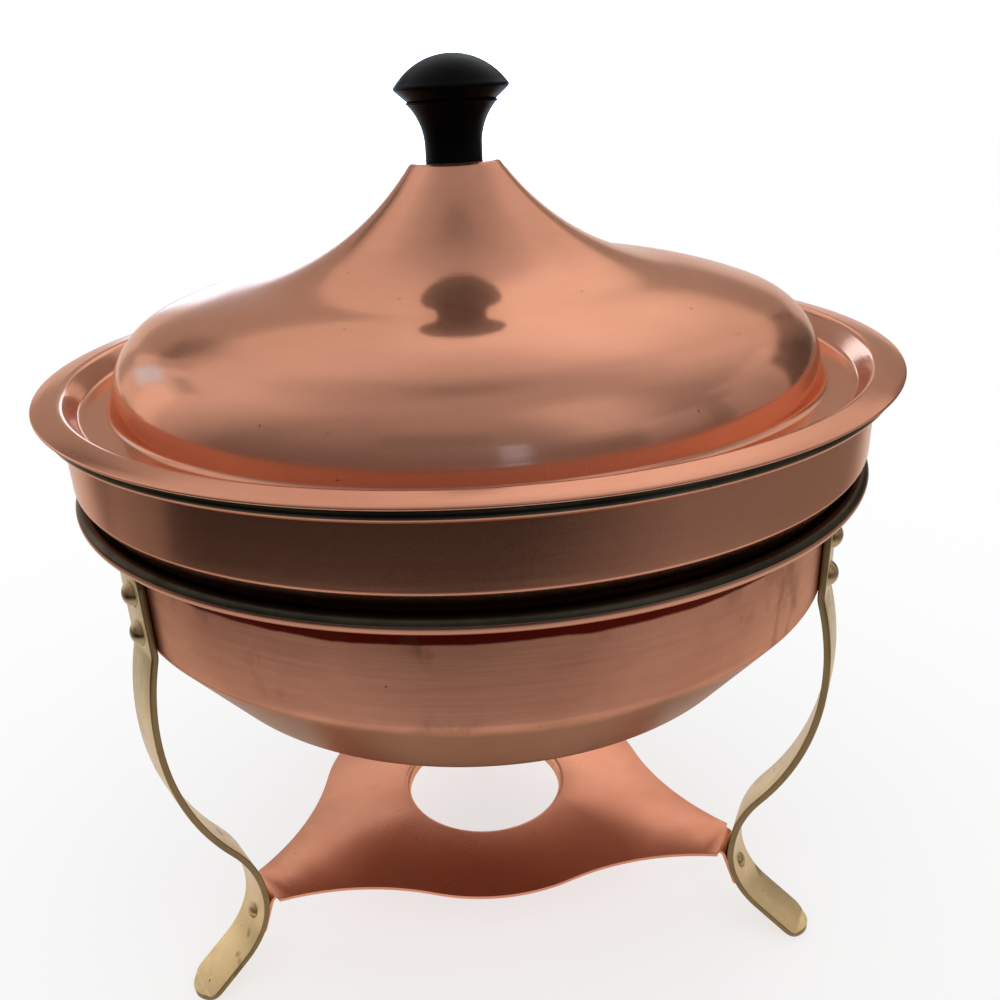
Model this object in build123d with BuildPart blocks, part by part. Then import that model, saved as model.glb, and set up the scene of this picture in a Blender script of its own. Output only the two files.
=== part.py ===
"""Chafing dish: a water pan on three bent legs, a food pan that nests in it, and a domed lid.

Millimetres, Z up. The origin is on the floor, on the axis of the pans, and one leg points to +Y.
"""
from build123d import *
from math import acos, asin, atan2, cos, hypot, radians, sin, sqrt, tan
import os

os.makedirs("parts", exist_ok=True)

# Stock
sheet = 1.0
plate_sheet = 1.2
strap_thickness = 2.4
strap_width = 17.6

# Fits
lift_gap = 0.3
nest_gap = 2.5
screw_play = 0.3

# Rims, each rolled round a wire
bead_diameter = 5.2

# Water pan: outer faces, heights above the floor
water_radius = 128.5
water_rim_height = 188.2
water_rim_overhang = 10.5
water_lip_bend = 3.0
water_wall_depth = 37.7
water_crease_bend = 5.0
water_cone_reach = 24.6
water_cone_depth = 31.9
water_floor_bend = 9.0

# Food pan: how far its seat and its band stand out from the water pan's wall, and its own heights
food_seat_reach = 3.7
food_seat_bend = 1.5
food_band_reach = 9.5
food_band_rise = 8.3
food_band_bend = 2.0
food_rim_rise = 31.4
food_rim_overhang = 5.5
food_throat_bend = 3.0
food_floor_bend = 20.0
water_space = 21.4

# Lid: how far its parts reach past or inside the food pan's wall, and heights above its flange
flange_overhang = 8.0
flange_inset = 1.2
flange_bend = 2.6
trough_inset = 5.7
trough_width = 9.9
trough_depth = 6.8
trough_bend = 2.2
dome_wall_lean = 12.6
dome_wall_height = 7.6
shoulder_inset = 17.2
shoulder_rise = 18.75
flank_inset = 48.2
flank_rise = 26.9
knob_seat_radius = 15.0
knob_seat_rise = 62.5
knob_seat_bend = 2.0

# Knob, heights above its seat on the lid
knob_base_radius = 9.5
knob_neck_height = 5.0
knob_collar_radius = 14.5
knob_collar_height = 17.6
knob_collar_bead = 0.7
knob_rim_radius = 18.8
knob_rim_height = 22.0
knob_rim_edge = 1.2
knob_height = 32.5

# Screw and washer under the knob
screw_radius = 2.0
screw_grip = 10.0
screw_end_room = 1.0
screw_head_radius = 4.0
screw_head_height = 2.6
screw_slot_width = 1.1
screw_slot_depth = 1.2
washer_radius = 6.5
washer_thickness = 1.0

# Legs: inner face of each strap, from its end on the wall down to its toe
strap_top_corner = 4.0
wall_end_rise = 0.2
upper_turn_drop = 3.2
bulge_reach = 4.5
bulge_drop = 31.5
lower_turn_drop = 56.0
waist_inset = 22.1
waist_above_plate = 1.6
foot_out = 11.9
foot_drop = 22.0
ball_bend = 5.0
toe_length = 4.0

# Burner plate, height above the floor
plate_height = 33.4
disc_radius = 69.4
arm_width = 19.0
arm_side_bend = 100.0
burner_hole_radius = 32.4
collar_bend = 2.4
collar_depth = 5.0
tab_width = 14.0
tab_bend = 3.0
tab_below_rivet = 8.0
tab_corner = 4.0

# Rivets
shank_radius = 2.4
head_radius = 4.5
head_rise = 2.9
tail_radius = 3.2
tail_rise = 0.9
rivet_above_crease = 5.0
rivet_spacing = 14.0
rivet_edge = 8.5
plate_shank_radius = 1.7
plate_head_radius = 3.0
plate_head_rise = 1.5
plate_tail_radius = 2.7
plate_tail_rise = 0.8
plate_rivet_drop = 8.9
rivet_cut = 12.0

# Legs, all round, from +X
rear_leg_angle = 90
leg_angle_step = 120
leg_azimuths = {
    "left": rear_leg_angle + leg_angle_step,
    "right": rear_leg_angle + 2 * leg_angle_step,
    "rear": rear_leg_angle,
}


def finish(piece, name):
    """Label a piece and write it to its own file."""
    piece.label = name
    export_step(piece, f"parts/{name}.step")


def sagitta(radius, across):
    """How far a round face of this radius leaves a flat one at this distance from its middle."""
    return radius - sqrt(radius**2 - across**2)


def arc_radius(out, along):
    """Radius of an arc that starts along one direction and moves out by so much on its way."""
    return (out**2 + along**2) / (2 * out)


def s_bend(start, end, drop):
    """Draw two arcs, upright at both ends, that change from one bend to the other after a drop."""
    share = drop / (start[1] - end[1])
    turn = (start[0] + share * (end[0] - start[0]), start[1] - drop)
    first = TangentArc(start, turn, tangent=(0, -1))
    TangentArc(turn, end, tangent=first % 1)


def rivet_site(azimuth, radius, height, tilt=0.0):
    """Where a rivet's head sits, on the outer face of a leg, with Z along the rivet."""
    level = Plane(origin=(radius, 0, height), z_dir=(cos(tilt), 0, sin(tilt)))
    return Rotation(0, 0, azimuth) * level.location


def pan_rivet_sites(azimuth):
    """The two rivets of one leg through the wall of the water pan."""
    heights = (upper_rivet_height, lower_rivet_height)
    return [rivet_site(azimuth, strap_face_radius, height) for height in heights]


def plate_rivet_site(azimuth):
    """The rivet of one leg through the tab of the burner plate."""
    out = tab_point[0] + strap_thickness * cos(tab_tilt)
    up = tab_point[1] + strap_thickness * sin(tab_tilt)
    return rivet_site(azimuth, out, up, tab_tilt)


# Heights and faces that pieces share
bead_radius = bead_diameter / 2
pan_grip = strap_thickness + sheet
plate_grip = strap_thickness + plate_sheet
screw_length = washer_thickness + sheet + screw_grip

water_bead_radius = water_radius + water_rim_overhang - bead_radius
water_lip_height = water_rim_height - sheet / 2
water_crease_height = water_rim_height - water_wall_depth
water_floor_radius = water_radius - water_cone_reach
water_floor_height = water_crease_height - water_cone_depth

food_radius = water_radius + food_band_reach
food_seat_radius = water_radius + food_seat_reach
food_body_radius = water_radius - sheet - nest_gap
food_floor_height = water_floor_height + sheet + water_space
food_seat_height = water_lip_height + sheet + lift_gap
food_rim_height = food_seat_height + food_rim_rise
food_bead_radius = food_radius + food_rim_overhang - bead_radius
food_inner_bead_radius = food_radius - sheet + bead_radius

flange_height = food_rim_height + bead_radius + lift_gap + sheet
flange_inner_radius = food_radius - flange_inset
trough_height = flange_height - trough_depth
trough_outer_radius = food_radius - trough_inset
dome_radius = trough_outer_radius - trough_width
knob_seat_height = flange_height + knob_seat_rise

strap_face_radius = water_radius + strap_thickness
lower_rivet_height = water_crease_height + rivet_above_crease
upper_rivet_height = lower_rivet_height + rivet_spacing
strap_top = upper_rivet_height + rivet_edge

# The line of a leg's inner face, and the bend at its foot that the tab of the plate touches
wall_end = (water_radius, water_crease_height + wall_end_rise)
bulge = (water_radius + bulge_reach, water_crease_height - bulge_drop)
waist = (water_radius - waist_inset, plate_height + waist_above_plate)
foot = (waist[0] + foot_out, plate_height - foot_drop)
foot_bend = arc_radius(foot_out, waist_above_plate + foot_drop)
foot_turn = 2 * atan2(foot_out, waist_above_plate + foot_drop)
ball = (foot[0] + foot[1] * tan(foot_turn), 0)
toe = (ball[0] + toe_length, 0)
tab_tilt = asin((waist_above_plate + plate_rivet_drop) / foot_bend)
tab_point = (waist[0] + foot_bend * (1 - cos(tab_tilt)), plate_height - plate_rivet_drop)

# Water pan: straight wall, crease and cone, with a lip that ends in a bead
with BuildPart() as water_pan:
    with BuildSketch(Plane.XZ):
        with BuildLine():
            FilletPolyline(
                (0, water_floor_height),
                (water_floor_radius, water_floor_height),
                (water_radius, water_crease_height),
                (water_radius, water_lip_height),
                (water_bead_radius, water_lip_height),
                radius=[water_floor_bend, water_crease_bend, water_lip_bend],
            )
            offset(amount=sheet, side=Side.LEFT)
        make_face()
        with Locations((water_bead_radius, water_rim_height)):
            Circle(bead_radius)
    revolve(axis=Axis.Z)
    with Locations([site for azimuth in leg_azimuths.values() for site in pan_rivet_sites(azimuth)]):
        Cylinder(shank_radius, rivet_cut, mode=Mode.SUBTRACT)
finish(water_pan.part, "water_pan")

# Food pan: body inside the water pan, step that sits on its mouth, and tall band with a bead
with BuildPart() as food_pan:
    with BuildSketch(Plane.XZ):
        with BuildLine():
            FilletPolyline(
                (0, food_floor_height),
                (food_body_radius, food_floor_height),
                (food_body_radius, food_seat_height),
                (food_seat_radius, food_seat_height),
                (food_radius, food_seat_height + food_band_rise),
                (food_radius, food_rim_height),
                radius=[food_floor_bend, food_throat_bend, food_seat_bend, food_band_bend],
            )
            offset(amount=sheet, side=Side.LEFT)
        make_face()
        with Locations(((food_inner_bead_radius + food_bead_radius) / 2, food_rim_height)):
            SlotCenterToCenter(food_bead_radius - food_inner_bead_radius, bead_diameter)
    revolve(axis=Axis.Z)
finish(food_pan.part, "food_pan")

# Lid: flange on the food pan's bead, sunk trough, then a dome of three arcs up to the knob's seat
with BuildPart() as lid:
    with BuildSketch(Plane.XZ):
        with BuildLine() as lid_line:
            wall_top = (
                dome_radius - dome_wall_height * tan(radians(dome_wall_lean)),
                trough_height + dome_wall_height,
            )
            shoulder = (dome_radius - shoulder_inset, flange_height + shoulder_rise)
            flank = (dome_radius - flank_inset, flange_height + flank_rise)
            seat_edge = (knob_seat_radius, knob_seat_height)
            rim = FilletPolyline(
                (food_radius + flange_overhang, flange_height),
                (flange_inner_radius, flange_height),
                (trough_outer_radius, trough_height),
                (dome_radius, trough_height),
                wall_top,
                radius=[flange_bend, trough_bend, trough_bend],
            )
            shoulder_arc = TangentArc(wall_top, shoulder, tangent=rim % 1)
            flank_arc = TangentArc(shoulder, flank, tangent=shoulder_arc % 1)
            TangentArc(flank, seat_edge, tangent=flank_arc % 1)
            Line(seat_edge, (0, knob_seat_height))
            fillet(lid_line.vertices().sort_by_distance(seat_edge)[0], radius=knob_seat_bend)
            offset(amount=sheet, side=Side.LEFT)
        make_face()
    revolve(axis=Axis.Z)
    with Locations((0, 0, knob_seat_height)):
        Hole(screw_radius + screw_play)
finish(lid.part, "lid")

# Knob: waisted neck, small collar bead, bevel out to a thin rim and a low dome
with BuildPart() as knob:
    with BuildSketch(Plane.XZ):
        with BuildLine():
            base = (knob_base_radius, knob_seat_height)
            neck = (knob_base_radius, knob_seat_height + knob_neck_height)
            collar = (knob_collar_radius, knob_seat_height + knob_collar_height)
            collar_out = (knob_collar_radius + knob_collar_bead, collar[1] + knob_collar_bead)
            bevel = (knob_collar_radius, collar_out[1] + knob_collar_bead)
            rim_low = (knob_rim_radius, knob_seat_height + knob_rim_height)
            rim_high = (knob_rim_radius, rim_low[1] + knob_rim_edge)
            top = (0, knob_seat_height + knob_height)
            Polyline((0, knob_seat_height), base, neck)
            TangentArc(neck, collar, tangent=(0, 1))
            ThreePointArc(collar, collar_out, bevel)
            Polyline(bevel, rim_low, rim_high)
            TangentArc(top, rim_high, tangent=(1, 0))
            Line(top, (0, knob_seat_height))
        make_face()
    revolve(axis=Axis.Z)
    with Locations(Plane.XY.offset(knob_seat_height).rotated((180, 0, 0))):
        Hole(screw_radius, depth=screw_grip + screw_end_room)
finish(knob.part, "knob")

# Washer and screw inside the lid
washer_top = knob_seat_height - sheet
with BuildPart() as knob_washer:
    with BuildSketch(Plane.XY.offset(washer_top)):
        Circle(washer_radius)
        Circle(screw_radius + screw_play, mode=Mode.SUBTRACT)
    extrude(amount=-washer_thickness)
finish(knob_washer.part, "knob_washer")

with BuildPart() as knob_screw:
    head_top = washer_top - washer_thickness
    with BuildSketch(Plane.XY.offset(head_top)):
        Circle(screw_radius)
    extrude(amount=screw_length)
    with BuildSketch(Plane.XZ):
        with BuildLine():
            crown = (0, head_top - screw_head_height)
            TangentArc(crown, (screw_head_radius, head_top), tangent=(1, 0))
            Polyline((screw_head_radius, head_top), (0, head_top), crown)
        make_face()
    revolve(axis=Axis.Z)
    with BuildSketch(Plane.XY.offset(head_top - screw_head_height)):
        Rectangle(2 * screw_head_radius, screw_slot_width)
    extrude(amount=screw_slot_depth, mode=Mode.SUBTRACT)
finish(knob_screw.part, "knob_screw")

# One leg, drawn from the side with its foot towards +X
with BuildPart() as strap:
    with BuildSketch(Plane.XZ):
        with BuildLine():
            Line((water_radius, strap_top), wall_end)
            s_bend(wall_end, bulge, upper_turn_drop)
            s_bend(bulge, waist, lower_turn_drop)
            TangentArc(waist, foot, tangent=(0, -1))
            FilletPolyline(foot, ball, toe, radius=ball_bend)
            offset(amount=strap_thickness, side=Side.LEFT)
        make_face()
    extrude(amount=strap_width / 2, both=True)
    with BuildSketch():
        with Locations((toe[0] - strap_width / 2, 0)):
            Rectangle(strap_width, strap_width, align=(Align.MIN, Align.CENTER))
            Circle(strap_width / 2, mode=Mode.SUBTRACT)
    extrude(amount=foot[1], mode=Mode.SUBTRACT)
    fillet(strap.edges().filter_by(Axis.X).group_by(Axis.Z)[-1], radius=strap_top_corner)
    with Locations(pan_rivet_sites(0)):
        Cylinder(shank_radius, rivet_cut, mode=Mode.SUBTRACT)
    with Locations(plate_rivet_site(0)):
        Cylinder(plate_shank_radius, rivet_cut, mode=Mode.SUBTRACT)

for side, azimuth in leg_azimuths.items():
    with BuildPart() as leg:
        with Locations(Rotation(0, 0, azimuth)):
            add(strap.part)
    finish(leg.part, f"leg_{side}")

# Burner plate: where its arms end, and the arc of each arm's side, which is tangent to the disc
tab_corner_radius = tab_point[0] - plate_rivet_drop * tan(tab_tilt)
tab_end = (
    tab_point[0] + tab_below_rivet * sin(tab_tilt),
    tab_point[1] - tab_below_rivet * cos(tab_tilt),
)
arm_end = tab_corner_radius - tab_bend * tan((radians(90) - tab_tilt) / 2)
arm_corner_radius = hypot(arm_end, arm_width / 2)
side_centre = disc_radius + arm_side_bend
squares = side_centre**2 + arm_corner_radius**2 - arm_side_bend**2
side_angle = atan2(arm_width / 2, arm_end) + acos(squares / (2 * side_centre * arm_corner_radius))
side_start = (disc_radius * cos(side_angle), disc_radius * sin(side_angle))
leg_turns = [Rotation(0, 0, azimuth) for azimuth in leg_azimuths.values()]

# One arm of the plate, towards +X: two concave sides from the disc to a straight end
with BuildSketch() as arm:
    with BuildLine() as half_arm:
        side_arc = RadiusArc((arm_end, arm_width / 2), side_start, arm_side_bend)
        Polyline((0, 0), (arm_end, 0), side_arc @ 0)
        Line((0, 0), side_arc @ 1)
    make_face()
    mirror(about=Plane.XZ)

# The turned-down end of one arm, riveted behind the leg
with BuildPart() as tab:
    with BuildSketch(Plane.XZ):
        with BuildLine():
            FilletPolyline(
                (arm_end - plate_sheet, plate_height),
                (tab_corner_radius, plate_height),
                tab_end,
                radius=tab_bend,
            )
            offset(amount=plate_sheet, side=Side.RIGHT)
        make_face()
    extrude(amount=tab_width / 2, both=True)
    lower_corners = tab.edges().filter_by(Axis.Y, reverse=True).group_by(Axis.Z)[0]
    fillet(lower_corners, radius=tab_corner)
    with Locations(plate_rivet_site(0)):
        Cylinder(plate_shank_radius, rivet_cut, mode=Mode.SUBTRACT)

# The plate: a disc with three arms and tabs, and a collar turned down round the burner hole
with BuildPart() as burner_plate:
    with BuildSketch(Plane.XY.offset(plate_height)):
        Circle(disc_radius)
        with Locations(leg_turns):
            add(arm.sketch)
        Circle(burner_hole_radius + collar_bend, mode=Mode.SUBTRACT)
    extrude(amount=-plate_sheet)
    with BuildSketch(Plane.XZ):
        with BuildLine():
            FilletPolyline(
                (burner_hole_radius + collar_bend + plate_sheet, plate_height),
                (burner_hole_radius, plate_height),
                (burner_hole_radius, plate_height - collar_depth),
                radius=collar_bend,
            )
            offset(amount=plate_sheet, side=Side.LEFT)
        make_face()
    revolve(axis=Axis.Z)
    with Locations(leg_turns):
        add(tab.part)
finish(burner_plate.part, "burner_plate")


def make_rivet(radius, grip, head, tail):
    """A rivet along Z: its dome from Z 0 up, its shank through the grip, and the upset tail below.

    Head and tail are each a half-width, a rise and the gap that a round face leaves under them.
    """
    with BuildPart() as rivet:
        with BuildSketch(Plane.XZ):
            with BuildLine():
                head_seat = head[2]
                tail_seat = -grip - tail[2]
                dome_top = (0, head_seat + head[1])
                tail_top = (0, tail_seat - tail[1])
                TangentArc(dome_top, (head[0], head_seat), tangent=(1, 0))
                Polyline(
                    (head[0], head_seat),
                    (radius, head_seat),
                    (radius, tail_seat),
                    (tail[0], tail_seat),
                )
                TangentArc(tail_top, (tail[0], tail_seat), tangent=(1, 0))
                Line(tail_top, dome_top)
            make_face()
        revolve(axis=Axis.Z)
    return rivet.part


pan_rivet = make_rivet(
    shank_radius,
    pan_grip,
    (head_radius, head_rise, 0),
    (tail_radius, tail_rise, sagitta(water_radius - sheet, tail_radius)),
)
plate_rivet = make_rivet(
    plate_shank_radius,
    plate_grip,
    (plate_head_radius, plate_head_rise, sagitta(foot_bend - strap_thickness, plate_head_radius)),
    (plate_tail_radius, plate_tail_rise, 0),
)

for side, azimuth in leg_azimuths.items():
    with BuildPart() as pan_rivets:
        with Locations(pan_rivet_sites(azimuth)):
            add(pan_rivet)
    finish(pan_rivets.part, f"pan_rivets_{side}")
    with BuildPart() as single_rivet:
        with Locations(plate_rivet_site(azimuth)):
            add(plate_rivet)
    finish(single_rivet.part, f"plate_rivet_{side}")
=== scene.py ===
"""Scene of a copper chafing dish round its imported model.

Sizes are in millimetres and become metres where a mesh is made. Z is up and the rear leg is on +Y.
"""
from math import acos, asin, atan2, cos, degrees, hypot, pi, radians, sin, sqrt, tan

import bmesh
import bpy
from mathutils import Matrix, Vector


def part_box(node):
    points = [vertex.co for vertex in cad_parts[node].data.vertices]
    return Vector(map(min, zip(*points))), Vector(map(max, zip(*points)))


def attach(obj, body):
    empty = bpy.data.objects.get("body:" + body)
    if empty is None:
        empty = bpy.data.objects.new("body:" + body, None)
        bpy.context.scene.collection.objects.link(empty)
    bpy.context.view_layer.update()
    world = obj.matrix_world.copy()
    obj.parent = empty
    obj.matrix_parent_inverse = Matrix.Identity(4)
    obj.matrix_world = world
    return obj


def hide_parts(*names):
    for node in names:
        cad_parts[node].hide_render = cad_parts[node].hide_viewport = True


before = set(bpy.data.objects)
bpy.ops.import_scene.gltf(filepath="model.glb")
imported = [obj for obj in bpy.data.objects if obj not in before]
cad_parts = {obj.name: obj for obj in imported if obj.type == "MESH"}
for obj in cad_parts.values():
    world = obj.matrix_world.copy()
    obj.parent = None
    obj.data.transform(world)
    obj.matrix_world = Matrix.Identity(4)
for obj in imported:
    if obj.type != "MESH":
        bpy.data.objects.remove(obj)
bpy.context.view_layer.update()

MM = 0.001
TURN = 2 * pi
UP = Vector((0, 0, 1))

# Stock and fits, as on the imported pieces
SHEET = 1.0
PLATE_SHEET = 1.2
STRAP_THICKNESS = 2.4
STRAP_WIDTH = 17.6
BEAD = 2.6
REST_GAP = 0.3
LEG_AZIMUTHS = {"left": 210, "right": 330, "rear": 90}

# Fineness of the meshes
SPUN_SEGMENTS = 336
ARC_STEP = radians(4)
LONGEST_STEP = 3.0
SHARP_ANGLE = radians(38)
SAME_POINT = 1e-4


def node_height(name, end):
    """Lowest (end 0) or highest (end 1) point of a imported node, in millimetres."""
    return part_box(name)[end][2] / MM


# Outlines

def rotated(vector, angle):
    """A flat vector turned by an angle."""
    return Vector((
        vector.x * cos(angle) - vector.y * sin(angle),
        vector.x * sin(angle) + vector.y * cos(angle),
    ))


def fillet_path(points, radii):
    """A line through the points with each inner corner rounded by its radius."""
    path = [Vector(points[0])]
    for before, corner, after, radius in zip(points, points[1:], points[2:], radii):
        before, corner, after = Vector(before), Vector(corner), Vector(after)
        back = (before - corner).normalized()
        ahead = (after - corner).normalized()
        turn = pi - back.angle(ahead)
        reach = radius * tan(turn / 2)
        centre = corner + (back + ahead).normalized() * radius / cos(turn / 2)
        start = corner + back * reach - centre
        side = 1 if back.x * ahead.y - back.y * ahead.x < 0 else -1
        steps = max(2, round(turn / ARC_STEP))
        path += [centre + rotated(start, side * turn * i / steps) for i in range(steps + 1)]
    path.append(Vector(points[-1]))
    return path


def tangent_arc(start, direction, end):
    """Points after the start of an arc that leaves along the direction, and the direction at its end."""
    start, end = Vector(start), Vector(end)
    chord = end - start
    cross = direction.x * chord.y - direction.y * chord.x
    half = atan2(cross, direction.dot(chord))
    steps = max(4, round(abs(2 * half) / ARC_STEP), round(chord.length / LONGEST_STEP))
    radius = chord.length / (2 * sin(half))
    normal = Vector((-direction.y, direction.x))
    centre = start + normal * radius
    points = [centre + rotated(start - centre, 2 * half * i / steps) for i in range(1, steps + 1)]
    return points, rotated(direction, 2 * half)


def arc_points(centre, radius, start, end):
    """Points on an arc round a centre, from one angle to another, in degrees."""
    steps = max(2, round(abs(radians(end - start)) / (2 * ARC_STEP)))
    angles = [radians(start + (end - start) * i / steps) for i in range(steps + 1)]
    return [Vector((centre[0] + radius * cos(a), centre[1] + radius * sin(a))) for a in angles]


def divided(path, longest=LONGEST_STEP):
    """The same line with its long straight runs cut into shorter ones."""
    out = [path[0]]
    for a, b in zip(path, path[1:]):
        steps = max(1, round((b - a).length / longest))
        out += [a.lerp(b, i / steps) for i in range(1, steps + 1)]
    return out


def without_repeats(path):
    """The same line without points that lie on each other."""
    out = [path[0]]
    for point in path[1:]:
        if (point - out[-1]).length > SAME_POINT:
            out.append(point)
    return out


def offset_path(path, distance):
    """The line moved sideways, to its left for a positive distance."""
    out = []
    for i, point in enumerate(path):
        ahead = path[min(i + 1, len(path) - 1)] - path[max(i - 1, 0)]
        ahead.normalize()
        out.append(point + Vector((-ahead.y, ahead.x)) * distance)
    return out


# Meshes

def new_object(name, mesh, body, materials, replaces=()):
    """Put a mesh in the scene, with its materials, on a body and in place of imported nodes."""
    obj = bpy.data.objects.new(name, mesh)
    bpy.context.scene.collection.objects.link(obj)
    for material in materials:
        mesh.materials.append(material)
    if replaces:
        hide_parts(*replaces)
    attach(obj, body)


def closed_mesh(name, bm):
    """Turn a bmesh into a smooth mesh that keeps an edge where its faces turn sharply."""
    bmesh.ops.remove_doubles(bm, verts=bm.verts, dist=SAME_POINT * MM)
    bmesh.ops.recalc_face_normals(bm, faces=bm.faces)
    for face in bm.faces:
        face.smooth = True
    for edge in bm.edges:
        if len(edge.link_faces) == 2 and edge.calc_face_angle() > SHARP_ANGLE:
            edge.smooth = False
    mesh = bpy.data.meshes.new(name)
    bm.to_mesh(mesh)
    bm.free()
    return mesh


def lathe(bm, outline, segments=SPUN_SEGMENTS, place=Matrix.Identity(4)):
    """Turn a closed outline round Z. Each outline point is (radius, height, material index)."""
    rings = []
    for radius, height, _ in outline:
        if radius < SAME_POINT:
            rings.append([bm.verts.new(place @ (Vector((0, 0, height)) * MM))] * segments)
            continue
        ring = []
        for k in range(segments):
            angle = TURN * k / segments
            point = Vector((radius * cos(angle), radius * sin(angle), height))
            ring.append(bm.verts.new(place @ (point * MM)))
        rings.append(ring)
    for i, ring in enumerate(rings):
        after = rings[(i + 1) % len(rings)]
        if ring[0] is ring[1] and after[0] is after[1]:
            continue
        for k in range(segments):
            n = (k + 1) % segments
            corners = []
            for vert in (ring[k], ring[n], after[n], after[k]):
                if vert not in corners:
                    corners.append(vert)
            bm.faces.new(corners).material_index = outline[i][2]


def marked(path, material):
    """Outline points with a material index."""
    return [(point[0], point[1], material) for point in path]


def sheet_edge(outer_end, inner_end):
    """The half round that closes the cut edge of a sheet, between its two faces."""
    centre = (outer_end + inner_end) / 2
    spoke = outer_end - centre
    steps = 6
    return [centre + rotated(spoke, pi * i / steps) for i in range(1, steps)]


# Materials, whose noises have their scale in waves a metre

class Nodes:
    """The few calls that a node tree of a material or of the world needs."""

    def __init__(self, tree):
        self.nodes = tree.nodes
        self.links = tree.links

    def node(self, kind, **settings):
        made = self.nodes.new(kind)
        for key, value in settings.items():
            setattr(made, key, value)
        return made

    def join(self, output, socket):
        self.links.new(output, socket)

    def math(self, operation, a, b=0.0, clamp=False):
        made = self.node("ShaderNodeMath", operation=operation, use_clamp=clamp)
        for socket, value in zip(made.inputs, (a, b)):
            if isinstance(value, (int, float)):
                socket.default_value = value
            else:
                self.join(value, socket)
        return made.outputs[0]

    def dot(self, vector, direction):
        made = self.node("ShaderNodeVectorMath", operation="DOT_PRODUCT")
        self.join(vector, made.inputs[0])
        made.inputs[1].default_value = direction
        return made.outputs["Value"]

    def length(self, vector):
        made = self.node("ShaderNodeVectorMath", operation="LENGTH")
        self.join(vector, made.inputs[0])
        return made.outputs["Value"]

    def stretched(self, vector, x, y, z):
        """A vector with each direction stretched."""
        made = self.node("ShaderNodeVectorMath", operation="MULTIPLY")
        self.join(vector, made.inputs[0])
        made.inputs[1].default_value = (x, y, z)
        return made.outputs[0]

    def noise(self, vector, scale, detail=3.0, roughness=0.5, w=None):
        made = self.node("ShaderNodeTexNoise", noise_dimensions="3D" if w is None else "4D")
        self.join(vector, made.inputs["Vector"])
        if w is not None:
            self.join(w, made.inputs["W"])
        made.inputs["Scale"].default_value = scale
        made.inputs["Detail"].default_value = detail
        made.inputs["Roughness"].default_value = roughness
        return made.outputs["Fac"]

    def spread(self, value, low, high, to_low=0.0, to_high=1.0, smooth=False):
        """Stretch the part of a value between low and high over another range."""
        made = self.node("ShaderNodeMapRange", clamp=True)
        if smooth:
            made.interpolation_type = "SMOOTHSTEP"
        self.join(value, made.inputs["Value"])
        ends = {"From Min": low, "From Max": high, "To Min": to_low, "To Max": to_high}
        for socket, number in ends.items():
            made.inputs[socket].default_value = number
        return made.outputs["Result"]

    def mix(self, factor, a, b):
        """A colour between two colours. The node's colours are its inputs 6 and 7 and output 2."""
        made = self.node("ShaderNodeMix", data_type="RGBA")
        self.join(factor, made.inputs[0])
        for socket, value in zip((made.inputs[6], made.inputs[7]), (a, b)):
            if isinstance(value, tuple):
                socket.default_value = (*value, 1)
            else:
                self.join(value, socket)
        return made.outputs[2]

    def seen_rays(self):
        """1 for the rays that show the background: from the camera, off gloss and through glass."""
        path = self.node("ShaderNodeLightPath")
        seen = self.math("MAXIMUM", path.outputs["Is Camera Ray"], path.outputs["Is Glossy Ray"])
        return self.math("MAXIMUM", seen, path.outputs["Is Transmission Ray"])


class Shader(Nodes):
    """A procedural material round one Principled surface."""

    def __init__(self, name, base, metallic, roughness, **sockets):
        self.material = bpy.data.materials.new(name)
        self.material.use_nodes = True
        super().__init__(self.material.node_tree)
        self.surface = self.nodes["Principled BSDF"]
        self.surface.inputs["Base Color"].default_value = (*base, 1)
        self.surface.inputs["Metallic"].default_value = metallic
        self.surface.inputs["Roughness"].default_value = roughness
        for socket, value in sockets.items():
            self.surface.inputs[socket.replace("_", " ")].default_value = value
        self.position = self.node("ShaderNodeTexCoord").outputs["Object"]

    def rings(self, fineness, drift):
        """A vector and a W that stay nearly the same along a ring round Z, for marks of spinning.

        Fineness is how fast they change across the rings, and drift how fast along them.
        """
        split = self.node("ShaderNodeSeparateXYZ")
        self.join(self.position, split.inputs[0])
        radius = self.length(self.stretched(self.position, 1, 1, 0))
        joined = self.node("ShaderNodeCombineXYZ")
        self.join(self.math("MULTIPLY", radius, fineness), joined.inputs[0])
        self.join(self.math("MULTIPLY", split.outputs[2], fineness), joined.inputs[1])
        self.join(self.math("MULTIPLY", split.outputs[1], drift), joined.inputs[2])
        return joined.outputs[0], self.math("MULTIPLY", split.outputs[0], drift)

    def bump(self, height, strength, distance, below=None):
        made = self.node("ShaderNodeBump")
        made.inputs["Strength"].default_value = strength
        made.inputs["Distance"].default_value = distance
        self.join(height, made.inputs["Height"])
        if below is not None:
            self.join(below, made.inputs["Normal"])
        return made.outputs["Normal"]

    def drips(self):
        """Short soft smudges of old drips, here and there: a noise drawn out downwards."""
        drawn_out = self.noise(self.stretched(self.position, 1, 1, 0.5), 130, detail=4)
        smudge = self.spread(drawn_out, 0.5, 0.74)
        here = self.spread(self.noise(self.position, 27, detail=2), 0.5, 0.64)
        return self.math("MULTIPLY", smudge, here)

    def set(self, socket, output):
        self.join(output, self.surface.inputs[socket])


SPECULAR_TINT = (0.95, 0.76, 0.64, 1)
# Fineness and drift of the marks of spinning
FINE_RINGS = (1500, 22)
STREAK_RINGS = (420, 30)
PLATING_RINGS = (2500, 30)
SPECK_SCALE = 330
POLISH_SCALE = 24000
TARNISH = (0.16, 0.09, 0.035)
BRASS_SPECK = (0.07, 0.04, 0.02)
# Painted shade: dark red on the bowl's wall just under the water pan's lip, where the lip shades it
PAINTED_LIP_SHADE = (0.11, 0.008, 0.005)
# Soot of the burner on the underside, deepened with painted shade for the shaded floor under the dish
# that it reflects
SOOT_AND_SHADE = (0.22, 0.09, 0.045)
# Heights between which the painted shade under the lip and the soot with painted shade set in
PAINTED_LIP_SHADE_HEIGHTS = (177.1, 178.0)
SOOT_AND_SHADE_HEIGHTS = (152.0, 146.0)


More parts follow.
